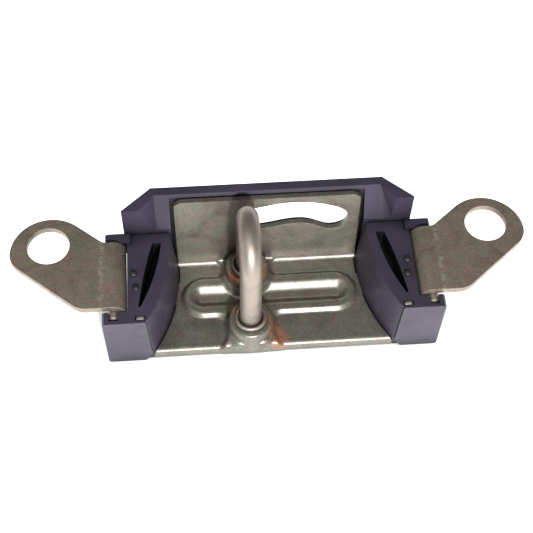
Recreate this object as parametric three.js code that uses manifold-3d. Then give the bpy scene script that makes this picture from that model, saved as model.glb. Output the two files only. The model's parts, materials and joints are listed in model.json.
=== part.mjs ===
// Hitch ring assembly with two folding fixing lugs.
//
// A pressed steel pan carries an upright U-shaped loop bar. A black moulded surround in three parts
// frames the pan: a back shell behind its wall, and an end housing on each side. Each end housing holds
// a hinge pin in a front block and a rear tab, and a steel lug with a large hole folds about that pin.
//
// Millimetres. X runs to the right, Y to the back and Z up. The origin is on the base plane, in the
// middle of the length and of the depth.

import * as THREE from 'three';
import { mergeVertices } from 'three/addons/utils/BufferGeometryUtils.js';
import Module from 'manifold-3d';

const wasm = await Module();
wasm.setup();

// ---------------------------------------------------------------- driving dimensions

const GAP = 0.35;                  // play between pieces that touch
const FRONT = -25.4;               // front faces of the end blocks
const BACK = 25.4;                 // rear face of the back shell

const PAN_FRONT = -24.7;           // front face of the pan's lip
const SHEET = 2.0;                 // pan sheet thickness
const BASE_TOP = 4.3;              // upper face of the pan's base
const BASE_UNDER = BASE_TOP - SHEET;
const WALL_TOP = 44.5;             // top edge of the pan's wall, under the shell's rim
const WALL_FOOT_Y = 16.0;          // front face of the wall at the base
const WALL_LEAN = 0.0702;          // rearward lean of the wall, per mm of height
const WALL_HALF = 36.8;            // half width of the wall
const LIP_FOOT = 0.4;              // lower edge of the pan's turned-down front lip

const INNER_HALF = 36.6;           // half width between the end housings at the rear of the base
const FLARE_START = 12.0;          // where the sides begin to flare towards the front
const FLARE_RADIUS = 65.0;         // radius of that flare in plan
const SIDE_DRAFT = 0.1015;         // outward lean of the sides, per mm of height

const END_TOP = 30.4;              // top of the end housings
const END_OUTER = 56.0;            // outer wall of the arms
const END_REAR = 14.6;             // rear face of the end housings
const END_WALL = 2.4;              // moulding thickness
const HOLLOW_TOP = 19.0;           // roof of the hollow inside each end housing
const SLOT_FLOOR = 21.4;           // floor of the crescent pocket in each arm
const BLOCK_OUTER = 65.8;          // outer face of the front blocks
const BLOCK_REAR = -20.1;          // rear face of the front blocks
const TAB_OUTER = 64.6;            // outer end of the rear tabs
const TAB_FRONT = 10.1;
const TAB_TOP = 31.6;
const TAB_FOOT = 24.2;

const PIN_X = 61.6;                // hinge axis
const PIN_RADIUS = 2.2;
const PIN_FRONT = -23.1;
const PIN_REAR = 12.9;
const BORE_END = 13.3;             // blind end of the pin's bore in the rear tab
const PIN_PLAY = 0.3;              // play of the pin in its saddle and bore
const SADDLE_END = -23.9;
const SADDLE_MOUTH = 1.7;          // half width of the snap-in mouth above the pin

const LUG_SHEET = 2.85;            // lug thickness
const KNUCKLE_BORE = 2.4;          // inner radius of the rolled root
const KNUCKLE_RADIUS = KNUCKLE_BORE + LUG_SHEET;
const LUG_TOP = 33.4;
const PIN_Z = LUG_TOP - KNUCKLE_RADIUS;
const LUG_FRONT = -19.7;           // front and rear edges of the lug's root
const LUG_REAR = 9.7;
const LUG_SLOPE = 0.69;            // direction of the lug's slanting sides, radians from X
const LUG_END = new THREE.Vector2(85.5, 6.2);
const LUG_END_RADIUS = 15.7;
const LUG_HOLE = new THREE.Vector2(86.3, 9.5);
const LUG_HOLE_RADIUS = 8.25;

const RIM_TOP = 46.3;              // top of the back shell
const RIM_HALF = 45.5;             // where the 45 degree corners begin
const RIM_OUTER = 57.0;
const RIM_BAND = 3.6;              // width of the rim along the corners
const SHELL_FRONT = 14.95;         // front faces of the shell's corners
const SHELL_BEHIND = 0.5;          // space between the pan's wall and the shell

const LOOP_X = -8.8;               // plane of the loop bar
const LOOP_ROD = 4.25;             // rod radius
const LOOP_FRONT_Y = -15.8;
const LOOP_REAR_Y = 9.1;
const LOOP_BEND_Z = 43.0;          // where the straight legs end
const BOSS_TOP = 12.0;
const BOSS_RADIUS = 8.8;
const BOSS_FOOT = 9.6;             // radius at the boss's foot, level with the block fronts
const BOSS_BORE = LOOP_ROD + 0.3;
const HOLLOW_RADIUS = 6.1;         // space under each boss
const FOOT_RADIUS = 5.7;           // riveted-over foot of the bar
const FOOT_LOW = 4.9;
const FOOT_HIGH = 6.9;

const BEAD = { y: -0.8, half: 35.2, radius: 8.6, height: 1.4 };
const TROUGH = { half: 32.6, radius: 5.3, floor: 3.5 };

// ---------------------------------------------------------------- materials

function metal(colour, roughness) {
  return new THREE.MeshStandardMaterial({ color: colour, roughness, metalness: 0.9 });
}

function moulding(colour) {
  return new THREE.MeshStandardMaterial({ color: colour, roughness: 0.35, metalness: 0.0 });
}

const BLACK = 0x232029;
const ZINC = 0x9c9584;
const LUG_ZINC = 0x85796c;
const STEEL = 0xb9b8b4;
const DARK_STEEL = 0x5c5b5e;

// ---------------------------------------------------------------- solids

function toSolid(geometry) {
  const bare = geometry.clone();
  bare.deleteAttribute('normal');
  bare.deleteAttribute('uv');
  const merged = mergeVertices(bare, 1e-4);
  const corners = merged.index.array;
  const triangles = [];
  for (let i = 0; i < corners.length; i += 3) {
    const [a, b, c] = corners.slice(i, i + 3);
    if (a !== b && b !== c && c !== a) {
      triangles.push(a, b, c);
    }
  }
  return new wasm.Manifold(new wasm.Mesh({
    numProp: 3,
    vertProperties: new Float32Array(merged.attributes.position.array),
    triVerts: new Uint32Array(triangles),
  }));
}

function toGeometry(solid) {
  const mesh = solid.getMesh();
  const geometry = new THREE.BufferGeometry();
  geometry.setAttribute('position', new THREE.BufferAttribute(new Float32Array(mesh.vertProperties), 3));
  geometry.setIndex(new THREE.BufferAttribute(new Uint32Array(mesh.triVerts), 1));
  geometry.computeVertexNormals();
  return geometry;
}

function join(solids) {
  return solids.reduce((whole, part) => whole.add(part));
}

function cut(solid, tools) {
  return tools.reduce((whole, tool) => whole.subtract(tool), solid);
}

// A plan outline (x, y) raised from one height to another.
function prism(shape, low, high, curveSegments = 12) {
  const geometry = new THREE.ExtrudeGeometry(shape, {
    depth: high - low,
    bevelEnabled: false,
    curveSegments,
  });
  geometry.translate(0, 0, low);
  return toSolid(geometry);
}

// A front outline (x, z) pushed from one depth to another.
function slab(shape, front, rear, curveSegments = 12) {
  const geometry = new THREE.ExtrudeGeometry(shape, {
    depth: rear - front,
    bevelEnabled: false,
    curveSegments,
  });
  geometry.rotateX(Math.PI / 2);
  geometry.translate(0, rear, 0);
  return toSolid(geometry);
}

// A side outline (y, z) drawn out from one x to another.
function bar(shape, left, right, curveSegments = 12) {
  const geometry = new THREE.ExtrudeGeometry(shape, {
    depth: right - left,
    bevelEnabled: false,
    curveSegments,
  });
  const axes = new THREE.Matrix4().makeBasis(
    new THREE.Vector3(0, 1, 0),
    new THREE.Vector3(0, 0, 1),
    new THREE.Vector3(1, 0, 0),
  );
  geometry.applyMatrix4(axes);
  geometry.translate(left, 0, 0);
  return toSolid(geometry);
}

// A ruled solid between two outlines with the same number of points, both listed anticlockwise.
function loft(lower, low, upper, high) {
  const count = lower.length;
  const positions = [];
  lower.forEach((p) => positions.push(p.x, p.y, low));
  upper.forEach((p) => positions.push(p.x, p.y, high));
  const index = [];
  for (let i = 0; i < count; i += 1) {
    const next = (i + 1) % count;
    index.push(i, next, count + next);
    index.push(i, count + next, count + i);
  }
  THREE.ShapeUtils.triangulateShape(lower, []).forEach(([a, b, c]) => index.push(a, c, b));
  THREE.ShapeUtils.triangulateShape(upper, []).forEach(([a, b, c]) => {
    index.push(count + a, count + b, count + c);
  });
  const geometry = new THREE.BufferGeometry();
  geometry.setAttribute('position', new THREE.Float32BufferAttribute(positions, 3));
  geometry.setIndex(index);
  return toSolid(geometry);
}

// A profile (radius, height) turned about a vertical axis.
function turned(profile, x, y, segments = 24) {
  const points = profile.map(([radius, height]) => new THREE.Vector2(radius, height));
  const geometry = new THREE.LatheGeometry(points, segments);
  geometry.rotateX(Math.PI / 2);
  geometry.translate(x, y, 0);
  return toSolid(geometry);
}

// A profile (radius, depth) turned about an axis that runs fore and aft.
function turnedAlongY(profile, x, z, segments = 20) {
  const points = profile.map(([radius, depth]) => new THREE.Vector2(radius, depth));
  const geometry = new THREE.LatheGeometry(points, segments);
  geometry.translate(x, 0, z);
  return toSolid(geometry);
}

function cylinder(radius, low, high, x, y, segments = 24) {
  return turned([[0, low], [radius, low], [radius, high], [0, high]], x, y, segments);
}

function cylinderAlongY(radius, front, rear, x, z, segments = 20) {
  return turnedAlongY([[0, front], [radius, front], [radius, rear], [0, rear]], x, z, segments);
}

function polygon(points) {
  return new THREE.Shape(points.map(([x, y]) => new THREE.Vector2(x, y)));
}

function rectangle(left, right, low, high) {
  return polygon([[left, low], [right, low], [right, high], [left, high]]);
}

// Mirror image in the plane x = 0.
function mirrored(solid) {
  return solid.mirror([1, 0, 0]);
}

// ---------------------------------------------------------------- shared outlines

// Inner half width between the end housings at depth y and height z.
function innerHalf(y, z) {
  const along = Math.max(0, FLARE_START - y);
  const flare = FLARE_RADIUS - Math.sqrt(FLARE_RADIUS ** 2 - along ** 2);
  const fade = 1 - 0.65 * THREE.MathUtils.clamp(y / FRONT, 0, 1);
  return INNER_HALF + flare + SIDE_DRAFT * (z - BASE_TOP) * fade;
}

// Points along the inner side from front to rear.
function innerSide(z, inset, front, rear, steps = 14) {
  const points = [];
  for (let i = 0; i <= steps; i += 1) {
    const y = THREE.MathUtils.lerp(front, rear, i / steps);
    points.push(new THREE.Vector2(innerHalf(y, z) + inset, y));
  }
  return points;
}

// Front face of the pan's wall at a height.
function wallFace(z) {
  return WALL_FOOT_Y + WALL_LEAN * (z - BASE_TOP);
}

// A stadium lying along X.
function stadium(half, radius, centreY, steps = 10) {
  const points = [];
  [1, -1].forEach((side) => {
    for (let i = 0; i <= steps; i += 1) {
      const angle = Math.PI * (i / steps) - side * Math.PI / 2;
      const x = side * (half - radius) + radius * Math.cos(angle);
      points.push(new THREE.Vector2(x, centreY + radius * Math.sin(angle)));
    }
  });
  return points;
}

// The window through the pan's wall and the back shell, as a front outline.
function windowShape(grow) {
  const shape = new THREE.Shape();
  shape.moveTo(-9.5 - grow, 32.6);
  shape.bezierCurveTo(-9.5 - grow, 37.5 + grow, -5.5, 39.0 + grow, -1.0, 39.8 + grow);
  shape.bezierCurveTo(8.0, 42.4 + grow, 17.0, 41.8 + grow, 24.0, 38.9 + grow);
  shape.bezierCurveTo(29.5 + grow, 37.0 + grow, 32.4 + grow, 34.6, 32.4 + grow, 31.0);
  shape.bezierCurveTo(32.4 + grow, 26.6, 29.5 + grow, 23.6 - grow, 26.0, 23.6 - grow);
  shape.bezierCurveTo(21.5, 23.8 - grow, 19.0, 28.4 - grow, 12.5, 28.4 - grow);
  shape.bezierCurveTo(6.0, 28.4 - grow, 1.0, 25.6 - grow, -3.5, 25.8 - grow);
  shape.bezierCurveTo(-7.5 - grow, 26.2 - grow, -9.5 - grow, 29.2, -9.5 - grow, 32.6);
  return shape;
}

// ---------------------------------------------------------------- pan

function panBaseOutline() {
  const right = innerSide(BASE_TOP, -GAP, PAN_FRONT, END_REAR + GAP + 0.5);
  const left = right.map((p) => new THREE.Vector2(-p.x, p.y)).reverse();
  return new THREE.Shape([...right, ...left]);
}

// Base, front lip and wall as one folded strip, seen from the side.
function panStripShape() {
  const bend = 2.5;
  const start = END_REAR + GAP;
  const rearTop = wallFace(WALL_TOP) + SHEET;
  const rearFoot = wallFace(BASE_UNDER) + SHEET;
  const shape = new THREE.Shape();
  shape.moveTo(start, BASE_UNDER);
  shape.lineTo(rearFoot - bend, BASE_UNDER);
  shape.quadraticCurveTo(rearFoot, BASE_UNDER, wallFace(BASE_UNDER + bend) + SHEET, BASE_UNDER + bend);
  shape.lineTo(rearTop, WALL_TOP - 0.5);
  shape.lineTo(rearTop - 0.5, WALL_TOP);
  shape.lineTo(rearTop - SHEET + 0.5, WALL_TOP);
  shape.lineTo(rearTop - SHEET, WALL_TOP - 0.5);
  shape.lineTo(wallFace(BASE_TOP + 1), BASE_TOP + 1);
  shape.lineTo(start, BASE_TOP);
  return shape;
}

function frontLip() {
  const front = PAN_FRONT;
  const half = innerHalf(front + SHEET, LIP_FOOT) - GAP;
  const shape = polygon([
    [front, LIP_FOOT],
    [front + SHEET, LIP_FOOT],
    [front + SHEET, BASE_TOP],
    [front + 0.6, BASE_TOP],
    [front, BASE_TOP - 0.6],
  ]);
  return bar(shape, -half, half);
}

// Raised outline of a neck that runs from the bead to an edge of the base.
function neckOutline(near, far, waist, flare, steps = 6) {
  const points = [];
  for (let i = 0; i <= steps; i += 1) {
    const t = i / steps;
    const y = THREE.MathUtils.lerp(near, far, t);
    points.push([y, waist + flare * (2 * t - 1) ** 2]);
  }
  const right = points.map(([y, half]) => new THREE.Vector2(LOOP_X + half, y));
  const left = points.map(([y, half]) => new THREE.Vector2(LOOP_X - half, y)).reverse();
  const outline = [...right, ...left];
  return far > near ? outline : outline.reverse();
}

// The raised cross on the base: the bead and its two necks, drawn in from below by one sheet thickness.
function embossing(low, high, shrink) {
  const slope = 1.2;
  const bead = stadium(BEAD.half - shrink, BEAD.radius - shrink, BEAD.y);
  const beadFoot = stadium(BEAD.half - shrink + slope, BEAD.radius - shrink + slope, BEAD.y);
  const pieces = [loft(beadFoot, low, bead, high)];
  const ends = [
    [BEAD.y - 4, PAN_FRONT + 0.3 + shrink, 8.8, 3.4],
    [BEAD.y + 4, WALL_FOOT_Y + 0.2 - shrink, 8.8, 3.2],
  ];
  ends.forEach(([near, far, waist, flare]) => {
    const neck = neckOutline(near, far, waist - shrink, flare);
    const foot = neckOutline(near, far, waist - shrink + slope, flare);
    pieces.push(loft(foot, low, neck, high));
  });
  return join(pieces);
}

function bossAt(y) {
  const boss = turned([
    [0, BASE_UNDER + 0.2],
    [BOSS_FOOT, BASE_UNDER + 0.2],
    [BOSS_FOOT, BASE_TOP + 0.4],
    [BOSS_RADIUS + 0.2, BASE_TOP + BEAD.height + 1.2],
    [BOSS_RADIUS, BOSS_TOP - 2.2],
    [BOSS_RADIUS - 0.5, BOSS_TOP - 0.8],
    [BOSS_RADIUS - 1.5, BOSS_TOP],
    [0, BOSS_TOP],
  ], LOOP_X, y, 32);
  const aheadOfWall = bar(rectangle(FRONT - 1, WALL_FOOT_Y + 1, 0, END_TOP), -WALL_HALF, WALL_HALF);
  return boss.intersect(aheadOfWall);
}

// The front boss's foot runs down over the lip as a rounded apron.
function frontApron() {
  const foot = cylinder(BOSS_FOOT, LIP_FOOT, BASE_TOP, LOOP_X, LOOP_FRONT_Y, 32);
  const lipSpace = bar(
    rectangle(FRONT - 1, PAN_FRONT + SHEET, 0, END_TOP),
    LOOP_X - BOSS_FOOT,
    LOOP_X + BOSS_FOOT,
  );
  return foot.intersect(lipSpace);
}

function troughCut() {
  const mouthZ = BASE_TOP + BEAD.height + 0.1;
  const mouth = stadium(TROUGH.half, TROUGH.radius, BEAD.y);
  const floor = stadium(TROUGH.half - TROUGH.radius + 1.0, 1.0, BEAD.y);
  return loft(floor, TROUGH.floor, mouth, mouthZ);
}

function troughUnderside() {
  const top = stadium(TROUGH.half + 0.8, TROUGH.radius + 0.8, BEAD.y);
  const keel = stadium(TROUGH.half - TROUGH.radius + 1.6, 1.6, BEAD.y);
  return loft(keel, TROUGH.floor - SHEET, top, BASE_TOP + 0.6);
}

const TONGUE = { front: -3, rear: 7, end: 54.0 };
const SCREW = { x: 50.6, y: 2.0 };

const STUD = { x: 26, z: 13, radius: 1.6, end: 24.4 };

function makePan() {
  const base = prism(panBaseOutline(), BASE_UNDER, BASE_TOP);
  const wall = bar(panStripShape(), -WALL_HALF, WALL_HALF);
  let body = join([base, wall, frontLip(), embossing(BASE_UNDER + 0.5, BASE_TOP + BEAD.height, 0)]);
  const corner = slab(cornerTrim(), 0, BACK);
  body = cut(body, [corner, mirrored(corner)]);
  body = cut(body, [embossing(BASE_UNDER - 1.4, BASE_UNDER + BEAD.height, SHEET * 0.6)]);
  body = cut(body.add(troughUnderside()), [troughCut()]);
  const legs = [LOOP_FRONT_Y, LOOP_REAR_Y];
  body = join([body, ...legs.map(bossAt), frontApron()]);
  legs.forEach((y) => {
    body = cut(body, [
      cylinder(HOLLOW_RADIUS, BASE_UNDER - 2, BOSS_TOP - SHEET, LOOP_X, y),
      cylinder(BOSS_BORE, BOSS_TOP - SHEET - 1, BOSS_TOP + 1, LOOP_X, y),
    ]);
  });
  const tongue = prism(rectangle(INNER_HALF - 1, TONGUE.end, TONGUE.front, TONGUE.rear), BASE_UNDER, BASE_TOP);
  const screwHole = cylinder(1.9, BASE_UNDER - 1, BASE_TOP + 1, SCREW.x, SCREW.y, 20);
  const side = cut(tongue, [screwHole]);
  const stud = cylinderAlongY(STUD.radius, wallFace(STUD.z) + SHEET - 0.5, STUD.end, STUD.x, STUD.z, 16);
  body = join([body, side, mirrored(side), stud, mirrored(stud)]);
  return cut(body, [slab(windowShape(0), WALL_FOOT_Y - 1, BACK, 8)]);
}

// Rounds off the upper corners of the wall.
function cornerTrim() {
  const radius = 2.5;
  const shape = new THREE.Shape();
  shape.moveTo(WALL_HALF, WALL_TOP - radius);
  shape.absarc(WALL_HALF - radius, WALL_TOP - radius, radius, 0, Math.PI / 2, false);
  shape.lineTo(WALL_HALF - radius, WALL_TOP + 1);
  shape.lineTo(WALL_HALF + 1, WALL_TOP + 1);
  shape.lineTo(WALL_HALF + 1, WALL_TOP - radius);
  return shape;
}

// ---------------------------------------------------------------- loop bar and its rings

class LoopPath extends THREE.Curve {
  constructor(low) {
    super();
    this.low = low;
    this.radius = (LOOP_REAR_Y - LOOP_FRONT_Y) / 2;
    this.leg = LOOP_BEND_Z - low;
    this.total = 2 * this.leg + Math.PI * this.radius;
  }

  getPoint(t) {
    const travelled = t * this.total;
    const middle = (LOOP_FRONT_Y + LOOP_REAR_Y) / 2;
    if (travelled <= this.leg) {
      return new THREE.Vector3(LOOP_X, LOOP_FRONT_Y, this.low + travelled);
    }
    if (travelled >= this.total - this.leg) {
      return new THREE.Vector3(LOOP_X, LOOP_REAR_Y, this.low + this.total - travelled);
    }
    const angle = (travelled - this.leg) / this.radius;
    const y = middle - this.radius * Math.cos(angle);
    return new THREE.Vector3(LOOP_X, y, LOOP_BEND_Z + this.radius * Math.sin(angle));
  }
}

function circleShape(radius, sides) {
  const points = [];
  for (let i = 0; i < sides; i += 1) {
    const angle = (i / sides) * Math.PI * 2;
    points.push(new THREE.Vector2(radius * Math.cos(angle), radius * Math.sin(angle)));
  }
  return new THREE.Shape(points);
}

function makeLoopBar() {
  const rod = new THREE.ExtrudeGeometry(circleShape(LOOP_ROD, 20), {
    steps: 30,
    bevelEnabled: false,
    extrudePath: new LoopPath(FOOT_LOW + 0.4),
  });
  const feet = [LOOP_FRONT_Y, LOOP_REAR_Y].map((y) => turned([
    [0, FOOT_LOW],
    [FOOT_RADIUS - 1, FOOT_LOW],
    [FOOT_RADIUS, FOOT_LOW + 0.8],
    [FOOT_RADIUS, FOOT_HIGH],
    [0, FOOT_HIGH],
  ], LOOP_X, y));
  return join([toSolid(rod), ...feet]);
}

function makeCollar(y) {
  const low = BOSS_TOP + 0.3;
  return turned([
    [BOSS_BORE, low],
    [6.3, low],
    [6.5, low + 0.7],
    [6.1, low + 1.5],
    [5.4, low + 1.7],
    [BOSS_BORE, low + 0.9],
    [BOSS_BORE, low],
  ], LOOP_X, y);
}

function makeBackingWasher(y) {
  const low = FOOT_HIGH + 0.3;
  const high = BOSS_TOP - SHEET - 0.3;
  return turned([
    [BOSS_BORE, low],
    [FOOT_RADIUS, low],
    [FOOT_RADIUS, high],
    [BOSS_BORE, high],
    [BOSS_BORE, low],
  ], LOOP_X, y);
}

// ---------------------------------------------------------------- lugs and hinge pins

function unit(angle) {
  return new THREE.Vector2(Math.cos(angle), Math.sin(angle));
}

// Plan outline of the right lug's flat blade, from the bend line to its round end.
function bladeShape() {
  const along = unit(LUG_SLOPE);
  const normal = unit(LUG_SLOPE + Math.PI / 2);
  const rearTangent = LUG_END.clone().addScaledVector(normal, LUG_END_RADIUS);
  const rearCorner = rearTangent.clone().addScaledVector(along, -(rearTangent.y - LUG_REAR) / along.y);
  const frontInset = 12.9;
  const frontFoot = LUG_END.clone().addScaledVector(normal, -frontInset);
  const frontCorner = frontFoot.clone().addScaledVector(along, -(frontFoot.y - LUG_FRONT) / along.y);
  const tipAngle = 0.1;
  const tip = LUG_END.clone().addScaledVector(unit(tipAngle), LUG_END_RADIUS);
  const tipCorner = frontFoot.clone().addScaledVector(along, 10.3);
  const tipEnd = frontFoot.clone().addScaledVector(along, 5.3);
  const shape = new THREE.Shape();
  shape.moveTo(PIN_X, LUG_FRONT);
  shape.lineTo(frontCorner.x - 3, LUG_FRONT);
  const frontTurn = frontCorner.clone().addScaledVector(along, 3);
  shape.quadraticCurveTo(frontCorner.x, frontCorner.y, frontTurn.x, frontTurn.y);
  shape.lineTo(tipEnd.x, tipEnd.y);
  shape.quadraticCurveTo(tipCorner.x, tipCorner.y, tip.x, tip.y);
  shape.absarc(LUG_END.x, LUG_END.y, LUG_END_RADIUS, tipAngle, LUG_SLOPE + Math.PI / 2, false);
  const rearTurn = rearCorner.clone().addScaledVector(along, 1.6);
  shape.lineTo(rearTurn.x, rearTurn.y);
  shape.quadraticCurveTo(rearCorner.x, rearCorner.y, rearCorner.x - 2, LUG_REAR);
  shape.lineTo(PIN_X, LUG_REAR);
  const hole = new THREE.Path();
  hole.absarc(LUG_HOLE.x, LUG_HOLE.y, LUG_HOLE_RADIUS, 0, Math.PI * 2, true);
  shape.holes.push(hole);
  return shape;
}

// Front outline of the rolled root, from above the pin round its inner side and underneath.
function knuckleShape() {
  const start = Math.PI / 2;
  const end = Math.PI * 1.49;
  const shape = new THREE.Shape();
  shape.absarc(PIN_X, PIN_Z, KNUCKLE_RADIUS, start, end, false);
  shape.absarc(PIN_X, PIN_Z, KNUCKLE_BORE, end, start, true);
  return shape;
}

function makeRightLug() {
  const blade = prism(bladeShape(), LUG_TOP - LUG_SHEET, LUG_TOP, 16);
  const knuckle = slab(knuckleShape(), LUG_FRONT, LUG_REAR, 20);
  return blade.add(knuckle);
}

function makeRightPin() {
  return turnedAlongY([
    [0, PIN_FRONT],
    [1.2, PIN_FRONT],
    [1.9, PIN_FRONT + 0.35],
    [PIN_RADIUS, PIN_FRONT + 1.0],
    [PIN_RADIUS, PIN_REAR - 0.5],
    [PIN_RADIUS - 0.5, PIN_REAR],
    [0, PIN_REAR],
  ], PIN_X, PIN_Z);
}

// ---------------------------------------------------------------- end housings

const SLOT = {
  rear: 10.2,
  tip: new THREE.Vector2(52.0, -18.4),
  innerRear: 42.6,
  outerRear: 46.0,
};

// The crescent pocket in the top of an arm.
function slotShape() {
  const shape = new THREE.Shape();
  shape.moveTo(SLOT.innerRear, SLOT.rear);
  shape.quadraticCurveTo(44.2, -5.0, SLOT.tip.x - 0.8, SLOT.tip.y);
  shape.lineTo(SLOT.tip.x, SLOT.tip.y);
  shape.quadraticCurveTo(49.6, -1.0, SLOT.outerRear, SLOT.rear);
  return shape;
}

function tabShape() {
  const radius = 1.4;
  const shape = new THREE.Shape();
  shape.moveTo(END_OUTER - 1.5, TAB_FOOT);
  shape.lineTo(TAB_OUTER - radius, TAB_FOOT);
  shape.absarc(TAB_OUTER - radius, TAB_FOOT + radius, radius, -Math.PI / 2, 0, false);
  shape.absarc(TAB_OUTER - radius, TAB_TOP - radius, radius, 0, Math.PI / 2, false);
  shape.lineTo(END_OUTER - 1.5, TAB_TOP);
  return shape;
}

function sideOutline(z, inset, front, rear) {
  const inner = innerSide(z, inset, front, rear);
  const outer = [
    new THREE.Vector2(END_OUTER - inset, rear),
    new THREE.Vector2(END_OUTER - inset, front),
  ];
  return [...outer.reverse(), ...inner.reverse()];
}

function blockShape() {
  const left = innerHalf(FRONT, END_TOP);
  const foot = innerHalf(FRONT, 0);
  return polygon([
    [foot + 2.8, 0],
    [BLOCK_OUTER - 0.6, 0],
    [BLOCK_OUTER, 0.6],
    [BLOCK_OUTER, END_TOP - 0.8],
    [BLOCK_OUTER - 0.8, END_TOP],
    [left, END_TOP],
    [foot, 5.0],
  ]);
}

const ARM_RIVETS = [[53.6, -3.4], [52.8, -9.8]];
const RIVET = { shank: 0.8, head: 1.4, foot: 25.0 };
const RETAINER = { x: 51.3, y: -23.4, width: 3.2, depth: 1.2 };

function makeRightEndHousing() {
  const body = loft(sideOutline(0, 0, FRONT + 1, END_REAR), 0, sideOutline(END_TOP, 0, FRONT + 1, END_REAR), END_TOP);
  const hollowFront = BLOCK_REAR + 1;
  const hollow = loft(
    sideOutline(0, END_WALL, hollowFront, END_REAR - END_WALL),
    -1,
    sideOutline(HOLLOW_TOP, END_WALL, hollowFront, END_REAR - END_WALL),
    HOLLOW_TOP,
  );
  const block = slab(blockShape(), FRONT, BLOCK_REAR);
  const post = cylinder(3.2, BASE_TOP + GAP, HOLLOW_TOP + 0.5, SCREW.x, SCREW.y, 20);
  const tab = slab(tabShape(), TAB_FRONT, END_REAR);
  let housing = join([body.subtract(hollow), block, post, tab]);
  const tongueWay = prism(
    rectangle(INNER_HALF - 3, TONGUE.end + GAP, TONGUE.front - GAP, TONGUE.rear + GAP),
    -1,
    BASE_TOP + GAP,
  );
  const saddle = join([
    cylinderAlongY(PIN_RADIUS + PIN_PLAY, SADDLE_END, BLOCK_REAR + 1, PIN_X, PIN_Z),
    slab(rectangle(PIN_X - SADDLE_MOUTH, PIN_X + SADDLE_MOUTH, PIN_Z, END_TOP + 1), SADDLE_END, BLOCK_REAR + 1),
  ]);
  housing = cut(housing, [
    tongueWay,
    saddle,
    cylinderAlongY(PIN_RADIUS + PIN_PLAY, TAB_FRONT - 1, BORE_END, PIN_X, PIN_Z),
    prism(slotShape(), SLOT_FLOOR, END_TOP + 1),
    cylinder(1.8, BASE_TOP - 1, 15.0, SCREW.x, SCREW.y, 20),
    ...ARM_RIVETS.map(([x, y]) => cylinder(RIVET.shank + GAP, RIVET.foot - GAP, END_TOP + 1, x, y, 12)),
    retainerPocket(),
  ]);
  return housing;
}

function retainerPocket() {
  const halfWidth = RETAINER.width / 2 + GAP;
  const halfDepth = RETAINER.depth / 2 + GAP;
  const shape = rectangle(
    RETAINER.x - halfWidth,
    RETAINER.x + halfWidth,
    RETAINER.y - halfDepth,
    RETAINER.y + halfDepth,
  );
  return prism(shape, END_TOP - 6, END_TOP + 1);
}

// Spring clip that stands in its pocket at the front end of the slot.
function makeRightRetainingClip() {
  const half = RETAINER.width / 2;
  const low = END_TOP - 5.6;
  const high = END_TOP + 0.5;
  const shape = polygon([
    [RETAINER.x - half, low],
    [RETAINER.x + half, low],
    [RETAINER.x + half, high - 0.7],
    [RETAINER.x + half - 0.7, high],
    [RETAINER.x - half + 0.7, high],
    [RETAINER.x - half, high - 0.7],
  ]);
  return slab(shape, RETAINER.y - RETAINER.depth / 2, RETAINER.y + RETAINER.depth / 2);
}

function makeRivet([x, y]) {
  const head = END_TOP + 0.3;
  return turned([
    [0, RIVET.foot],
    [RIVET.shank, RIVET.foot],
    [RIVET.shank, head],
    [RIVET.head, head],
    [RIVET.head - 0.3, head + 0.4],
    [RIVET.head - 0.8, head + 0.6],
    [0, head + 0.65],
  ], x, y, 12);
}

function makeRightEndScrew() {
  const shoulder = BASE_UNDER - 0.3;
  return turned([
    [0, 0.9],
    [1.0, 0.9],
    [1.0, 0.5],
    [2.6, 0.5],
    [3.0, 0.9],
    [3.0, shoulder],
    [1.5, shoulder],
    [1.5, 13.0],
    [0.7, 14.2],
    [0, 14.2],
  ], SCREW.x, SCREW.y, 20);
}

// ---------------------------------------------------------------- back shell

const POCKET = { wall: 1.7, rib: 2.0, low: 4.0, high: 43.2 };

function shellOutline() {
  return polygon([
    [-RIM_OUTER, SHELL_FRONT],
    [RIM_OUTER, SHELL_FRONT],
    [RIM_OUTER, SHELL_FRONT + 0.3],
    [RIM_HALF, BACK],
    [-RIM_HALF, BACK],
    [-RIM_OUTER, SHELL_FRONT + 0.3],
  ]);
}

// The hopper between the rim and the arms: steep facets that fall from the rim to the arms' tops.
function hopperOutline(corner, side, rear) {
  return [[-side, 4], [side, 4], [side, SHELL_FRONT - 1], [corner, rear], [-corner, rear], [-side, SHELL_FRONT - 1]]
    .map(([x, y]) => new THREE.Vector2(x, y));
}

// Space for the pan's wall, in front of the shell's own wall.
function wallRecess() {
  const low = -1;
  const high = WALL_TOP + 0.4;
  const offset = SHEET + SHELL_BEHIND;
  const shape = polygon([
    [4, low],
    [wallFace(low) + offset, low],
    [wallFace(high) + offset, high],
    [4, high],
  ]);
  return bar(shape, -WALL_HALF - 1.6, WALL_HALF + 1.6);
}

// Hollows behind the shell's wall, between upright ribs.
function rearPockets() {
  const shape = polygon([
    [wallFace(POCKET.low) + SHEET + SHELL_BEHIND + POCKET.wall, POCKET.low],
    [BACK + 1, POCKET.low],
    [BACK + 1, POCKET.high],
    [wallFace(POCKET.high) + SHEET + SHELL_BEHIND + POCKET.wall, POCKET.high],
  ]);
  const ribs = [-38, -18, 38];
  return ribs.slice(1).map((x, i) => bar(shape, ribs[i] + POCKET.rib / 2, x - POCKET.rib / 2));
}

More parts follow.
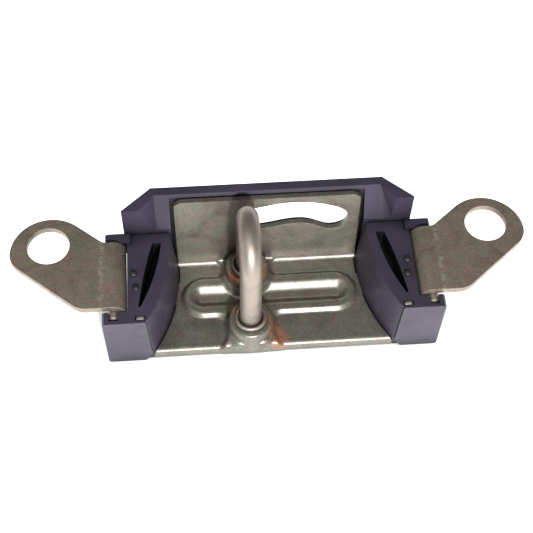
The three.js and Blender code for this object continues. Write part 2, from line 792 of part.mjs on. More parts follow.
function makeBackShell() {
  const body = prism(shellOutline(), 0, RIM_TOP);
  const hopper = loft(
    hopperOutline(44.0, 50.0, SHELL_FRONT + 0.3),
    END_TOP + 1.6,
    hopperOutline(44.4, 50.8, BACK - RIM_BAND),
    RIM_TOP + 0.01,
  );
  return cut(body, [
    wallRecess(),
    hopper,
    ...rearPockets(),
    slab(windowShape(2.0), WALL_FOOT_Y, BACK + 1, 8),
    ...[STUD.x, -STUD.x].map((x) => cylinderAlongY(STUD.radius + 0.4, WALL_FOOT_Y, BACK + 1, x, STUD.z, 16)),
  ]);
}

function makeRightPushNut() {
  const front = wallFace(STUD.z) + SHEET + SHELL_BEHIND + POCKET.wall + 0.5;
  return turnedAlongY([
    [STUD.radius + 0.3, front],
    [4.2, front],
    [4.2, front + 0.6],
    [3.0, front + 0.9],
    [STUD.radius + 0.3, front + 1.2],
    [STUD.radius + 0.3, front],
  ], STUD.x, STUD.z, 20);
}

// ---------------------------------------------------------------- assembly

const assembly = new THREE.Group();

function place(name, solid, material) {
  const mesh = new THREE.Mesh(toGeometry(solid), material);
  mesh.name = name;
  assembly.add(mesh);
}

// A right-hand piece and its mirror image, each with its own material.
function placePair(name, solid, material) {
  place(`right_${name}`, solid, material);
  place(`left_${name}`, mirrored(solid), material.clone());
}

place('back_shell', makeBackShell(), moulding(BLACK));
place('pan', makePan(), metal(ZINC, 0.4));
place('loop_bar', makeLoopBar(), metal(STEEL, 0.28));
[['front', LOOP_FRONT_Y], ['rear', LOOP_REAR_Y]].forEach(([end, y]) => {
  place(`${end}_collar`, makeCollar(y), metal(STEEL, 0.3));
  place(`${end}_backing_washer`, makeBackingWasher(y), metal(DARK_STEEL, 0.5));
});
placePair('end_housing', makeRightEndHousing(), moulding(BLACK));
placePair('lug', makeRightLug(), metal(LUG_ZINC, 0.42));
placePair('hinge_pin', makeRightPin(), metal(STEEL, 0.3));
placePair('retaining_clip', makeRightRetainingClip(), metal(ZINC, 0.35));
placePair('end_screw', makeRightEndScrew(), metal(DARK_STEEL, 0.5));
placePair('push_nut', makeRightPushNut(), metal(DARK_STEEL, 0.5));
ARM_RIVETS.forEach((spot, i) => placePair(`arm_rivet_${i + 1}`, makeRivet(spot), metal(DARK_STEEL, 0.4)));

export default assembly;
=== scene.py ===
import json
import math

import bmesh
import bpy
import numpy as np
from mathutils import Matrix, Vector

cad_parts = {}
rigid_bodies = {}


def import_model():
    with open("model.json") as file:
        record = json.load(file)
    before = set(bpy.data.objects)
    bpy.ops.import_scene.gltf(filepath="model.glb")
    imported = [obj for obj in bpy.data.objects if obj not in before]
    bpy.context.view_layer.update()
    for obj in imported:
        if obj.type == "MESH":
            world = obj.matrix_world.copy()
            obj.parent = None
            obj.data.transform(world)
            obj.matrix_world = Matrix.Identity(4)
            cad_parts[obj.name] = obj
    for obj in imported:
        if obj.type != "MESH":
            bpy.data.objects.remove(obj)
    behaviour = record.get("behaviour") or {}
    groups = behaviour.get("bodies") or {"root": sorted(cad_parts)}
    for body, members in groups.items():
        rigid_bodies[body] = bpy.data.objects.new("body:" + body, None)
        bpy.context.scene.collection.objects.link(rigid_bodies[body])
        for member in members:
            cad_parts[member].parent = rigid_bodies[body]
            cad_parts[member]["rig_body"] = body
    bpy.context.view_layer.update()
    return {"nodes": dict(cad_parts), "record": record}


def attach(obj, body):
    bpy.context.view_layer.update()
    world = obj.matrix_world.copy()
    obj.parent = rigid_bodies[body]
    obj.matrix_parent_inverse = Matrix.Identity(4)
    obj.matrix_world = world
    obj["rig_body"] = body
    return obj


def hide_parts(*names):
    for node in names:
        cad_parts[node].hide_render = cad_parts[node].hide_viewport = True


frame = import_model()
nodes = frame["nodes"]


# ---------------------------------------------------------------- shader helpers

class Shader:
    """A material whose nodes are added one call at a time."""

    def __init__(self, name):
        self.material = bpy.data.materials.new(name)
        self.material.use_nodes = True
        self.tree = self.material.node_tree
        self.surface = self.tree.nodes["Principled BSDF"]
        self.place = self.node("ShaderNodeTexCoord").outputs["Object"]

    def node(self, kind, **settings):
        made = self.tree.nodes.new(kind)
        for name, value in settings.items():
            setattr(made, name, value)
        return made

    def feed(self, socket, value):
        if isinstance(value, bpy.types.NodeSocket):
            self.tree.links.new(value, socket)
        else:
            socket.default_value = value

    def stretched(self, scale, turn=(0, 0, 0)):
        mapping = self.node("ShaderNodeMapping")
        self.feed(mapping.inputs["Vector"], self.place)
        mapping.inputs["Scale"].default_value = scale
        mapping.inputs["Rotation"].default_value = turn
        return mapping.outputs["Vector"]

    def noise(self, scale, detail=4.0, roughness=0.55, distortion=0.0, vector=None):
        made = self.node("ShaderNodeTexNoise")
        self.feed(made.inputs["Vector"], vector if vector is not None else self.place)
        made.inputs["Scale"].default_value = scale
        made.inputs["Detail"].default_value = detail
        made.inputs["Roughness"].default_value = roughness
        made.inputs["Distortion"].default_value = distortion
        return made.outputs["Fac"]

    def ramp(self, value, stops):
        made = self.node("ShaderNodeValToRGB")
        self.feed(made.inputs["Fac"], value)
        line = made.color_ramp.elements
        while len(line) < len(stops):
            line.new(0.5)
        for element, (position, colour) in zip(line, stops):
            element.position = position
            element.color = (*colour, 1.0) if len(colour) == 3 else colour
        return made.outputs["Color"]

    def span(self, value, low, high, to_low=0.0, to_high=1.0):
        made = self.node("ShaderNodeMapRange")
        self.feed(made.inputs["Value"], value)
        limits = {"From Min": low, "From Max": high, "To Min": to_low, "To Max": to_high}
        for name, number in limits.items():
            made.inputs[name].default_value = number
        return made.outputs["Result"]

    def math(self, operation, a, b):
        made = self.node("ShaderNodeMath", operation=operation)
        self.feed(made.inputs[0], a)
        self.feed(made.inputs[1], b)
        return made.outputs["Value"]

    def mix(self, factor, a, b, blend="MIX"):
        made = self.node("ShaderNodeMix", data_type="RGBA", blend_type=blend)
        self.feed(made.inputs["Factor"], factor)
        self.feed(made.inputs["A"], (*a, 1.0) if isinstance(a, tuple) else a)
        self.feed(made.inputs["B"], (*b, 1.0) if isinstance(b, tuple) else b)
        return made.outputs["Result"]

    def axis(self, name):
        parts = self.node("ShaderNodeSeparateXYZ")
        self.feed(parts.inputs["Vector"], self.place)
        return parts.outputs[name]

    def distance(self, centre):
        made = self.node("ShaderNodeVectorMath", operation="DISTANCE")
        self.feed(made.inputs[0], self.place)
        made.inputs[1].default_value = centre
        return made.outputs["Value"]

    def hollows(self, distance):
        """Mask for painted shade from ambient occlusion: 1 in corners and hollows, 0 in the open."""
        made = self.node("ShaderNodeAmbientOcclusion", samples=8)
        made.inputs["Distance"].default_value = distance
        return self.span(made.outputs["AO"], 0.35, 0.95, 1.0, 0.0)

    def bump(self, *layers):
        """Layers of (height, strength, distance) laid one over another."""
        normal = None
        for height, strength, distance in layers:
            made = self.node("ShaderNodeBump")
            self.feed(made.inputs["Height"], height)
            made.inputs["Strength"].default_value = strength
            made.inputs["Distance"].default_value = distance
            if normal is not None:
                self.feed(made.inputs["Normal"], normal)
            normal = made.outputs["Normal"]
        self.feed(self.surface.inputs["Normal"], normal)

    def set(self, **values):
        for name, value in values.items():
            self.feed(self.surface.inputs[name.replace("_", " ")], value)


# ---------------------------------------------------------------- materials

def black_moulding():
    s = Shader("black_moulding")
    cloudy = s.noise(45, 3)
    fine = s.noise(2600, 3, 0.6)
    scuffs = s.noise(160, 6, 0.7, 0.4, s.stretched((1.0, 4.0, 1.0), (0.3, 0.2, 0.5)))
    dark = s.ramp(cloudy, [(0.3, (0.026, 0.022, 0.037)), (0.7, (0.044, 0.037, 0.060))])
    scuffed = s.mix(s.span(scuffs, 0.62, 0.8, 0.0, 0.4), dark, (0.07, 0.06, 0.085))
    # Painted shade: the colour goes nearly black in corners and hollows.
    deep = s.hollows(0.009)
    shaded = s.mix(deep, scuffed, (0.001, 0.001, 0.0015))
    s.set(Base_Color=shaded, Roughness=s.span(scuffs, 0.3, 0.75, 0.36, 0.54), Metallic=0.0)
    s.surface.inputs["Specular IOR Level"].default_value = 0.36
    s.bump((s.noise(240, 3), 0.18, 0.0004), (fine, 0.22, 0.00008))
    return s.material


def yellow_zinc(name, tint, deep, roughness, stains=(), bend_highlight_x=None):
    """Passivated zinc: straw, green and pink clouds, fine speckle, orange stains, painted shade in hollows
    and a painted highlight with rubbed speckle along a bend.
    """
    s = Shader(name)
    clouds = s.noise(60, 5, 0.6, 1.2)
    bands = s.noise(190, 5, 0.65, 1.6)
    speckle = s.noise(1500, 2, 0.6)
    grain = s.noise(900, 5, 0.7, 0.2, s.stretched((0.3, 1.0, 1.0)))
    base = s.ramp(clouds, [
        (0.25, deep),
        (0.45, tint),
        (0.60, tuple(c * 1.2 for c in tint)),
        (0.78, tuple(c * 0.75 for c in tint)),
    ])
    hue = s.ramp(bands, [
        (0.28, (0.66, 0.94, 0.68)),
        (0.42, (0.86, 0.96, 0.82)),
        (0.50, (1.0, 0.97, 0.92)),
        (0.60, (1.0, 0.80, 0.78)),
        (0.72, (0.90, 0.74, 0.95)),
    ])
    tinted = s.mix(0.8, base, hue, "MULTIPLY")
    flecks = s.ramp(speckle, [(0.3, (0.55, 0.55, 0.55)), (0.5, (1.0, 1.0, 1.0)), (0.72, (1.5, 1.45, 1.4))])
    colour = s.mix(0.45, tinted, flecks, "MULTIPLY")
    # Painted shade: the colour darkens towards brown-grey in corners and hollows.
    colour = s.mix(s.math("MULTIPLY", s.hollows(0.004), 0.5), colour, (0.09, 0.075, 0.065))
    streaks = s.noise(420, 4, 0.7, 0.3)
    for centre, radius, stain in stains:
        near = s.span(s.distance(centre), radius, 0.2 * radius)
        colour = s.mix(s.math("MULTIPLY", near, s.span(streaks, 0.38, 0.54, 0.0, 0.85)), colour, stain)
    # Painted highlight along the bend line, broken up into speckle like rubbed wear.
    if bend_highlight_x is not None:
        from_middle = s.math("ABSOLUTE", s.axis("X"), 0.0)
        off = s.math("ABSOLUTE", s.math("SUBTRACT", from_middle, bend_highlight_x), 0.0)
        bend_highlight = s.math("MULTIPLY", s.span(off, 0.0016, 0.0002), s.span(streaks, 0.46, 0.6, 0.0, 0.4))
        colour = s.mix(bend_highlight, colour, (0.62, 0.58, 0.52))
    s.set(Base_Color=colour, Metallic=0.7, Roughness=s.span(grain, 0.3, 0.8, roughness, roughness + 0.2))
    s.bump((clouds, 0.10, 0.0006), (grain, 0.16, 0.00012), (speckle, 0.10, 0.00006))
    return s.material


def bright_steel(name, tint, roughness, lengthwise=(1.0, 1.0, 0.12)):
    s = Shader(name)
    drawn = s.noise(1400, 4, 0.65, 0.0, s.stretched(lengthwise))
    clouds = s.noise(110, 4, 0.6, 0.8)
    colour = s.ramp(clouds, [
        (0.3, (tint[0] * 0.72, tint[1] * 0.70, tint[2] * 0.66)),
        (0.5, tint),
        (0.7, (tint[0] * 1.05, tint[1] * 0.99, tint[2] * 0.93)),
    ])
    # Painted shade: the colour darkens to brown in corners and hollows.
    steel_shaded = s.mix(s.math("MULTIPLY", s.hollows(0.002), 0.45), colour, (0.16, 0.12, 0.09))
    s.set(Base_Color=steel_shaded, Metallic=0.85, Roughness=s.span(drawn, 0.3, 0.75, roughness, roughness + 0.16))
    s.bump((drawn, 0.05, 0.00005), (clouds, 0.05, 0.0003))
    return s.material


def pale_floor():
    s = Shader("pale_floor")
    s.set(Base_Color=(0.32, 0.32, 0.32, 1.0), Roughness=0.9)
    # The floor glows instead of being lit, and its glow fades near the object as painted shade.
    floor_occlusion = s.node("ShaderNodeAmbientOcclusion", samples=8)
    floor_occlusion.inputs["Distance"].default_value = 0.05
    glow_outside_shade = s.span(floor_occlusion.outputs["AO"], 0.25, 0.9, 0.0, 1.0)
    s.surface.inputs["Emission Color"].default_value = (1.0, 1.0, 1.0, 1.0)
    s.feed(s.surface.inputs["Emission Strength"], s.math("MULTIPLY", glow_outside_shade, 1.9))
    return s.material


# ---------------------------------------------------------------- mesh helpers

MM = 0.001


def to_mesh(name, points, faces):
    """A mesh from points in millimetres."""
    mesh = bpy.data.meshes.new(name)
    mesh.from_pydata([(x * MM, y * MM, z * MM) for x, y, z in points], [], faces)
    mesh.validate()
    form = bmesh.new()
    form.from_mesh(mesh)
    bmesh.ops.recalc_face_normals(form, faces=form.faces)
    form.to_mesh(mesh)
    form.free()
    return mesh


def lathe(profile, x, y, segments=64):
    """Points and faces of a closed profile (radius, height) that starts and ends on a vertical axis."""
    points = [(x, y, profile[0][1])]
    rings = profile[1:-1]
    for radius, z in rings:
        for i in range(segments):
            angle = 2 * math.pi * i / segments
            points.append((x + radius * math.cos(angle), y + radius * math.sin(angle), z))
    points.append((x, y, profile[-1][1]))
    last = len(points) - 1
    faces = []
    for i in range(segments):
        j = (i + 1) % segments
        faces.append((0, 1 + j, 1 + i))
        for k in range(len(rings) - 1):
            low, high = 1 + k * segments, 1 + (k + 1) * segments
            faces.append((low + i, low + j, high + j, high + i))
        top = 1 + (len(rings) - 1) * segments
        faces.append((top + i, top + j, last))
    return points, faces


def ring(profile, x, y, segments=64):
    """Points and faces of a closed profile (radius, height) that doesn't touch the axis."""
    points = []
    for radius, z in profile:
        for i in range(segments):
            angle = 2 * math.pi * i / segments
            points.append((x + radius * math.cos(angle), y + radius * math.sin(angle), z))
    count = len(profile)
    faces = []
    for k in range(count):
        for i in range(segments):
            j = (i + 1) % segments
            low, high = k * segments, ((k + 1) % count) * segments
            faces.append((low + i, low + j, high + j, high + i))
    return points, faces


def prism(outline, start, end, place):
    """Points and faces of an outline drawn out from start to end; place turns (u, v, w) into (x, y, z)."""
    count = len(outline)
    points = [place(u, v, start) for u, v in outline] + [place(u, v, end) for u, v in outline]
    faces = [tuple(range(count)), tuple(range(2 * count - 1, count - 1, -1))]
    faces += [(i, (i + 1) % count, count + (i + 1) % count, count + i) for i in range(count)]
    return points, faces


def gathered(*solids):
    """Several solids that don't meet, as one list of points and faces."""
    points, faces = [], []
    for some_points, some_faces in solids:
        faces += [tuple(len(points) + i for i in face) for face in some_faces]
        points += some_points
    return points, faces


def rounded(profile, radius, steps=5):
    """An open profile with its inner corners rounded."""
    out = [profile[0]]
    for before, corner, after in zip(profile, profile[1:], profile[2:]):
        a, c, b = Vector(before), Vector(corner), Vector(after)
        reach = min(radius, (a - c).length * 0.45, (b - c).length * 0.45)
        start, end = c + (a - c).normalized() * reach, c + (b - c).normalized() * reach
        for i in range(steps + 1):
            t = i / steps
            point = start * (1 - t) ** 2 + c * 2 * t * (1 - t) + end * t ** 2
            out.append((point.x, point.y))
    out.append(profile[-1])
    return out


def new_object(name, mesh):
    made = bpy.data.objects.new(name, mesh)
    bpy.context.scene.collection.objects.link(made)
    return made


def apply_modifiers(obj):
    graph = bpy.context.evaluated_depsgraph_get()
    mesh = bpy.data.meshes.new_from_object(obj.evaluated_get(graph))
    obj.modifiers.clear()
    obj.data = mesh


def combine(obj, operation, solids):
    """Joins closed solids to obj, or cuts them from it."""
    tool = new_object("tool", to_mesh("tool", *gathered(*solids)))
    modifier = obj.modifiers.new("combine", "BOOLEAN")
    modifier.operation = operation
    modifier.solver = "MANIFOLD"
    modifier.object = tool
    apply_modifiers(obj)
    bpy.data.objects.remove(tool)


def finish_piece(obj, slot, replaced, sharp=28.0):
    """Shades obj smoothly between sharp edges, gives it its slot's finish and sets it on its body."""
    mesh = obj.data
    mesh.shade_smooth()
    mesh.set_sharp_from_angle(angle=math.radians(sharp))
    weighted = obj.modifiers.new("flat_faces", "WEIGHTED_NORMAL")
    weighted.keep_sharp = True
    weighted.weight = 90
    apply_modifiers(obj)
    mesh = obj.data
    mesh.materials.clear()
    mesh.materials.append(FINISH[slot])
    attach(obj, nodes[replaced]["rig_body"])
    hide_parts(replaced)


def refined(name, slot, radius):
    """A CAD node's own form with its flat faces made whole and its edges rounded."""
    form = bmesh.new()
    form.from_mesh(nodes[name].data)
    bmesh.ops.remove_doubles(form, verts=form.verts, dist=1e-6)
    bmesh.ops.dissolve_limit(form, angle_limit=math.radians(0.8), verts=form.verts, edges=form.edges)
    mesh = bpy.data.meshes.new(name + "_form")
    form.to_mesh(mesh)
    form.free()
    obj = new_object(name + "_form", mesh)
    if radius:
        bevel = obj.modifiers.new("edges", "BEVEL")
        bevel.width = radius * MM
        bevel.segments = 2
        bevel.limit_method = "ANGLE"
        bevel.angle_limit = math.radians(35)
        bevel.use_clamp_overlap = True
        apply_modifiers(obj)
    finish_piece(obj, slot, name, 22.0)


# ---------------------------------------------------------------- finishes by slot

ORANGE, RUST = (0.62, 0.20, 0.07), (0.50, 0.06, 0.03)
PAN_STAINS = (                         # centre in metres, radius, colour
    ((0.0008, -0.0170, 0.0080), 0.0062, ORANGE),
    ((0.0025, -0.0225, 0.0050), 0.0050, ORANGE),
    ((-0.0165, -0.0120, 0.0100), 0.0040, ORANGE),
    ((-0.0150, 0.0040, 0.0110), 0.0050, RUST),
    ((-0.0010, 0.0060, 0.0110), 0.0045, ORANGE),
)

PAN_TINT, PAN_DEEP = (0.185, 0.178, 0.16), (0.115, 0.11, 0.098)
LUG_TINT, LUG_DEEP = (0.25, 0.212, 0.176), (0.16, 0.13, 0.108)
LUG_BEND_X = 0.0658                    # where a painted highlight with rubbed speckle runs along the lug's bend, metres from the middle

FINISH = {
    "black_moulding": black_moulding(),
    "yellow_zinc_sheet": yellow_zinc("pan_zinc", PAN_TINT, PAN_DEEP, 0.33, PAN_STAINS),
    "yellow_zinc_lug": yellow_zinc("lug_zinc", LUG_TINT, LUG_DEEP, 0.4, (), LUG_BEND_X),
    "bright_bar": bright_steel("rod_steel", (0.31, 0.275, 0.238), 0.42),
    "dark_fixing": bright_steel("fixing_steel", (0.07, 0.068, 0.07), 0.4, (1.0, 1.0, 1.0)),
    "spring_clip": bright_steel("clip_steel", (0.60, 0.57, 0.51), 0.24, (1.0, 1.0, 1.0)),
}


# ---------------------------------------------------------------- pan

SHEET = 2.0
BASE_TOP = 4.3
PAN_FRONT = -24.7
WALL_HALF = 36.8
WALL_TOP = 44.5
WALL_FOOT_Y = 16.0                     # front face of the wall, level with the base
LEAN = math.atan(0.0702)               # rearward lean of the wall
CORNER = 2.5                           # rounding of the wall's upper corners
LIP_BEND, FOOT_BEND = 2.15, 2.6        # outer radius at the lip, inner radius at the wall's foot

INNER_HALF, SIDE_GAP = 36.6, 0.35      # half width between the end housings, and the play beside the pan
FLARE_START, FLARE_RADIUS = 12.0, 65.0
STRIP_START = 14.95                    # behind this depth the pan is as wide as its wall

LOOP_X, LOOP_FRONT_Y, LOOP_REAR_Y = -8.8, -15.8, 9.1
LEGS_Y = (LOOP_FRONT_Y, LOOP_REAR_Y)
ROD = 4.25                             # rod radius of the loop bar
BOSS_TOP = 12.0

BEAD = {"y": -0.8, "half": 35.4, "radius": 8.8, "height": 1.5, "slope": 2.4}
TROUGH = {"half": 32.8, "radius": 5.4, "depth": 2.5, "slope": 4.6}
NECK_HALF, NECK_FLARE, NECK_BLEND = 8.6, 3.4, 4.5
BOSS_RISE = {"height": 1.3, "inner": 7.0, "outer": 11.6, "slope": 3.0}
NECK_FRONT, NECK_REAR = (-4.8, 19.6), (3.2, 13.0)   # start and length of the necks ahead and behind
LIP_SHARE = 0.21                       # how much of the pressed pattern carries on down the lip

TONGUE = {"inner": 34.0, "outer": 54.0, "front": -3.0, "rear": 7.0, "low": 2.32, "high": 4.28}
STUD = {"x": 26.0, "z": 13.0, "radius": 1.6, "front": 18.0, "rear": 24.4}
SCREW_HOLE = {"x": 50.6, "y": 2.0, "radius": 1.9}


def pan_half(y):
    """Half width of the pan at a depth."""
    along = np.maximum(0.0, FLARE_START - y)
    flare = FLARE_RADIUS - np.sqrt(FLARE_RADIUS ** 2 - along ** 2)
    side = INNER_HALF + flare - SIDE_GAP
    return np.where(y > STRIP_START, WALL_HALF, side)


def soft_step(value):
    t = np.clip(value, 0.0, 1.0)
    return t * t * (3.0 - 2.0 * t)


def smooth_min(a, b, reach):
    h = np.clip(0.5 + 0.5 * (b - a) / reach, 0.0, 1.0)
    return b + (a - b) * h - reach * h * (1.0 - h)


def stadium_distance(x, y, half, radius):
    """Distance outside a stadium that lies along X on the bead's middle line."""
    return np.hypot(np.maximum(np.abs(x) - (half - radius), 0.0), y - BEAD["y"]) - radius


def embossing(x, y):
    """Height of the pressed pattern over the plain base."""
    bead = stadium_distance(x, y, BEAD["half"], BEAD["radius"])
    ahead = (NECK_FRONT[0] - y) / NECK_FRONT[1]
    behind = (y - NECK_REAR[0]) / NECK_REAR[1]
    reach = np.where(y < BEAD["y"], ahead, behind)
    neck_half = NECK_HALF + NECK_FLARE * (2.0 * np.clip(reach, 0.0, 1.1) - 1.0) ** 2
    neck = np.abs(x - LOOP_X) - neck_half
    cross = 1.2 - smooth_min(bead, neck, NECK_BLEND)
    raised = BEAD["height"] * soft_step(cross / BEAD["slope"])
    inside = 0.3 - stadium_distance(x, y, TROUGH["half"], TROUGH["radius"])
    trough = TROUGH["depth"] * soft_step(inside / TROUGH["slope"])
    for boss_y in LEGS_Y:
        r = np.hypot(x - LOOP_X, y - boss_y)
        trough = trough * soft_step((r - 8.6) / 2.0)
        rise = BOSS_RISE["height"] * soft_step((BOSS_RISE["outer"] - r) / BOSS_RISE["slope"])
        raised = raised + rise * (r > BOSS_RISE["inner"])
    return raised - trough


def pan_section():
    """The sheet's upper side from the foot of the lip to the top of the wall: y, z and the normal's y, z."""
    line = []
    lip, bend = LIP_BEND, FOOT_BEND
    for z in np.linspace(0.4, BASE_TOP - lip, 4):
        line.append((PAN_FRONT, z, -1.0, 0.0))
    for angle in np.linspace(0.0, math.pi / 2, 9)[1:]:
        y, z = -math.cos(angle), math.sin(angle)
        line.append((PAN_FRONT + lip + lip * y, BASE_TOP - lip + lip * z, y, z))
    turn = math.pi / 2 - LEAN
    foot = WALL_FOOT_Y - bend * math.tan(turn / 2)
    for y in np.linspace(PAN_FRONT + lip, foot, 108)[1:]:
        line.append((y, BASE_TOP, 0.0, 1.0))
    for angle in np.linspace(0.0, turn, 9)[1:]:
        y, z = math.sin(angle), math.cos(angle)
        line.append((foot + bend * y, BASE_TOP + bend - bend * z, -y, z))
    y0, z0 = line[-1][0], line[-1][1]
    for z in np.linspace(z0, WALL_TOP, 22)[1:]:
        line.append((y0 + (z - z0) * math.tan(LEAN), z, -math.cos(LEAN), math.sin(LEAN)))
    return np.array(line)


def pan_sheet(columns=230):
    """Points and faces of the folded and pressed sheet."""
    section = pan_section()
    y, z, ny, nz = (section[:, i:i + 1] for i in range(4))
    across = np.linspace(-1.0, 1.0, columns)[None, :]
    corner = np.clip((z - (WALL_TOP - CORNER)) / CORNER, 0.0, 1.0)
    half = pan_half(y) - CORNER * (1.0 - np.sqrt(1.0 - corner ** 2)) * (y > WALL_FOOT_Y)
    x = half * across
    flat = np.clip(nz, 0.0, 1.0) ** 2
    on_lip = (y < PAN_FRONT + LIP_BEND) * (1.0 - flat)
    height = embossing(x, y) * (flat + LIP_SHARE * on_lip)
    sides = []
    for depth in (0.0, SHEET):
        sides.append(np.stack([x, y + ny * (height - depth), z + nz * (height - depth)], axis=-1))
    rows = len(section)
    points = [tuple(p) for side in sides for p in side.reshape(-1, 3)]
    under = rows * columns
    faces = []
    for i in range(rows - 1):
        for j in range(columns - 1):
            a = i * columns + j
            faces.append((a, a + 1, a + columns + 1, a + columns))
            faces.append((under + a, under + a + columns, under + a + columns + 1, under + a + 1))
    for i in range(rows - 1):
        for j, order in ((0, 1), (columns - 1, -1)):
            a = i * columns + j
            faces.append((a, a + columns, under + a + columns, under + a)[::order])
    for j in range(columns - 1):
        for i, order in ((0, 1), (rows - 1, -1)):
            a = i * columns + j
            faces.append((a, under + a, under + a + 1, a + 1)[::order])
    return points, faces


def bezier(p0, p1, p2, p3, steps=12):
    out = []
    for i in range(steps):
        t = i / steps
        weights = ((1 - t) ** 3, 3 * t * (1 - t) ** 2, 3 * t * t * (1 - t), t ** 3)
        out.append(tuple(sum(w * p[k] for w, p in zip(weights, (p0, p1, p2, p3))) for k in (0, 1)))
    return out


def window_outline():
    start = (-9.5, 32.6)
    curves = [
        ((-9.5, 37.5), (-5.5, 39.0), (-1.0, 39.8)),
        ((8.0, 42.4), (17.0, 41.8), (24.0, 38.9)),
        ((29.5, 37.0), (32.4, 34.6), (32.4, 31.0)),
        ((32.4, 26.6), (29.5, 23.6), (26.0, 23.6)),
        ((21.5, 23.8), (19.0, 28.4), (12.5, 28.4)),
        ((6.0, 28.4), (1.0, 25.6), (-3.5, 25.8)),
        ((-7.5, 26.2), (-9.5, 29.2), start),
    ]
    outline = []
    for first, second, end in curves:
        outline += bezier(start, first, second, end)
        start = end
    return outline


def circle(x, y, radius, sides):
    return [
        (x + radius * math.cos(2 * math.pi * i / sides), y + radius * math.sin(2 * math.pi * i / sides))
        for i in range(sides)
    ]


def upright(u, v, w):
    return (u, v, w)


def fore_and_aft(u, v, w):
    return (u, w, v)


def tongue_outline(side):
    inner, outer = side * TONGUE["inner"], side * TONGUE["outer"]
    return [
        (inner, TONGUE["front"]),
        (outer, TONGUE["front"]),
        (outer, TONGUE["rear"]),
        (inner, TONGUE["rear"]),
    ]


def make_pan():
    pan = new_object("pan_form", to_mesh("pan_form", *pan_sheet()))
    boss = rounded([(9.6, 4.4), (9.3, 5.6), (8.85, 7.4), (8.75, BOSS_TOP), (0.5, BOSS_TOP)], 1.5)
    joined = []
    for y in LEGS_Y:
        joined.append(lathe([(0.0, 3.0), (9.5, 3.0)] + boss + [(0.0, BOSS_TOP)], LOOP_X, y, 96))
    for side in (-1, 1):
        joined.append(prism(tongue_outline(side), TONGUE["low"], TONGUE["high"], upright))
        stud = circle(side * STUD["x"], STUD["z"], STUD["radius"], 24)
        joined.append(prism(stud, STUD["front"], STUD["rear"], fore_and_aft))
    combine(pan, "UNION", joined)
    removed = [prism(window_outline(), 14.0, 25.0, fore_and_aft)]
    for y in LEGS_Y:
        under = [(0.0, -1.0), (6.1, -1.0), (6.1, 10.0), (4.55, 10.0), (4.55, 14.0), (0.0, 14.0)]
        removed.append(lathe(under, LOOP_X, y))
    for side in (-1, 1):
        hole = circle(side * SCREW_HOLE["x"], SCREW_HOLE["y"], SCREW_HOLE["radius"], 24)
        removed.append(prism(hole, 1.0, 6.0, upright))
    combine(pan, "DIFFERENCE", removed)
    bevel = pan.modifiers.new("edges", "BEVEL")
    bevel.width = 0.3 * MM
    bevel.segments = 2
    bevel.limit_method = "ANGLE"
    bevel.angle_limit = math.radians(55)
    apply_modifiers(pan)
    finish_piece(pan, "yellow_zinc_sheet", "pan", 40.0)


# ---------------------------------------------------------------- loop bar and its rings

BEND_Z = 43.0                          # where the straight legs end

def loop_path():
    """Points of the bar's middle line, each with the direction away from the loop's centre."""
    radius = (LOOP_REAR_Y - LOOP_FRONT_Y) / 2
    middle = (LOOP_REAR_Y + LOOP_FRONT_Y) / 2
    path = [((LOOP_X, LOOP_FRONT_Y, z), (0.0, -1.0, 0.0)) for z in np.linspace(6.0, 42.0, 10)]
    for angle in np.linspace(0.0, math.pi, 49):
        out = (0.0, -math.cos(angle), math.sin(angle))
        path.append(((LOOP_X, middle + radius * out[1], BEND_Z + radius * out[2]), out))
    path += [((LOOP_X, LOOP_REAR_Y, z), (0.0, 1.0, 0.0)) for z in np.linspace(42.0, 6.0, 10)]
    return path


def make_loop(sides=56):
    path = loop_path()
    points = []
    for centre, out in path:
        for i in range(sides):
            angle = 2 * math.pi * i / sides
            outward, across = ROD * math.cos(angle), ROD * math.sin(angle)
            points.append((centre[0] + across, centre[1] + outward * out[1], centre[2] + outward * out[2]))
    faces = [tuple(range(sides)), tuple(range(len(points) - 1, len(points) - sides - 1, -1))]
    for k in range(len(path) - 1):
        for i in range(sides):
            j = (i + 1) % sides
            faces.append((k * sides + i, k * sides + j, (k + 1) * sides + j, (k + 1) * sides + i))
    loop = new_object("loop_form", to_mesh("loop_form", points, faces))
    head = rounded([(0.5, 4.9), (5.0, 4.9), (5.7, 5.6), (5.7, 6.9), (0.5, 6.9)], 0.5)
    heads = [lathe([(0.0, 4.9)] + head[1:-1] + [(0.0, 6.9)], LOOP_X, y) for y in LEGS_Y]
    combine(loop, "UNION", heads)
    finish_piece(loop, "bright_bar", "loop_bar", 40.0)


def make_collar(y, name):
    corners = [(4.6, 12.32), (6.2, 12.3), (6.45, 13.0), (6.1, 13.75), (5.5, 13.95), (4.62, 13.2)]
    section = rounded(corners, 0.35)
    collar = new_object(name + "_form", to_mesh(name + "_form", *ring(section, LOOP_X, y)))
    finish_piece(collar, "bright_bar", name, 50.0)


make_pan()
make_loop()
make_collar(LOOP_FRONT_Y, "front_collar")
make_collar(LOOP_REAR_Y, "rear_collar")

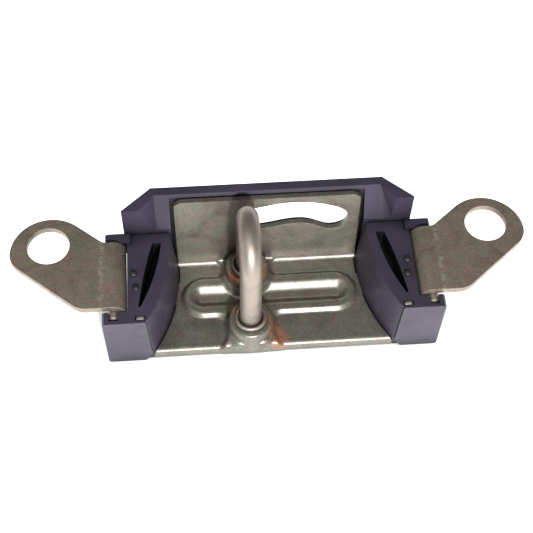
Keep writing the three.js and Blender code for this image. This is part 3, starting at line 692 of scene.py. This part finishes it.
MADE_HERE = ("pan", "loop_bar", "front_collar", "rear_collar")
EDGE_RADIUS = {"back_shell": 0.5, "end_housing": 0.4, "lug": 0.45, "retaining_clip": 0.2}
for entry in frame["record"]["subparts"]:
    name = entry["node"]
    if name not in MADE_HERE:
        plain = name.replace("left_", "").replace("right_", "")
        refined(name, entry["material_slot"], EDGE_RADIUS.get(plain, 0.0))


# ---------------------------------------------------------------- floor, light and camera

FLOOR_SIZE = 40.0
AIM = Vector((0.0, 0.0, 0.02))         # where the lights point
CAMERA_AT = Vector((-0.02623, -0.23905, 0.41379))
CAMERA_RIGHT = Vector((0.99708, -0.07429, 0.01763))
CAMERA_UP = Vector((0.05398, 0.84918, 0.52535))


def floor():
    bpy.ops.mesh.primitive_plane_add(size=FLOOR_SIZE, location=(0, 0, -0.0005))
    plane = bpy.context.object
    plane.name = "floor"
    plane.data.materials.append(pale_floor())


def area_light(name, position, size, power):
    data = bpy.data.lights.new(name, "AREA")
    data.shape = "RECTANGLE"
    data.size, data.size_y = size
    data.energy = power
    light = bpy.data.objects.new(name, data)
    bpy.context.scene.collection.objects.link(light)
    light.location = position
    light.rotation_euler = (AIM - Vector(position)).to_track_quat("-Z", "Y").to_euler()


def world(strength):
    made = bpy.data.worlds.new("studio")
    made.use_nodes = True
    background = made.node_tree.nodes["Background"]
    background.inputs["Color"].default_value = (1.0, 1.0, 1.0, 1.0)
    background.inputs["Strength"].default_value = strength
    bpy.context.scene.world = made


def camera():
    data = bpy.data.cameras.new("camera")
    data.sensor_width = 36.0
    data.lens = 78.1
    data.clip_start = 0.01
    data.clip_end = 50.0
    made = bpy.data.objects.new("camera", data)
    bpy.context.scene.collection.objects.link(made)
    turn = Matrix((CAMERA_RIGHT, CAMERA_UP, CAMERA_RIGHT.cross(CAMERA_UP))).transposed()
    made.matrix_world = Matrix.Translation(CAMERA_AT) @ turn.to_4x4()
    bpy.context.scene.camera = made


floor()
world(0.16)
area_light("key", (0.05, -0.62, 0.50), (0.035, 0.035), 10.0)
area_light("top", (-0.35, -0.2, 0.9), (0.6, 0.5), 1.4)
area_light("left", (-0.8, -0.1, 0.35), (0.4, 0.4), 0.7)
camera()
bpy.context.scene.view_settings.view_transform = "Standard"
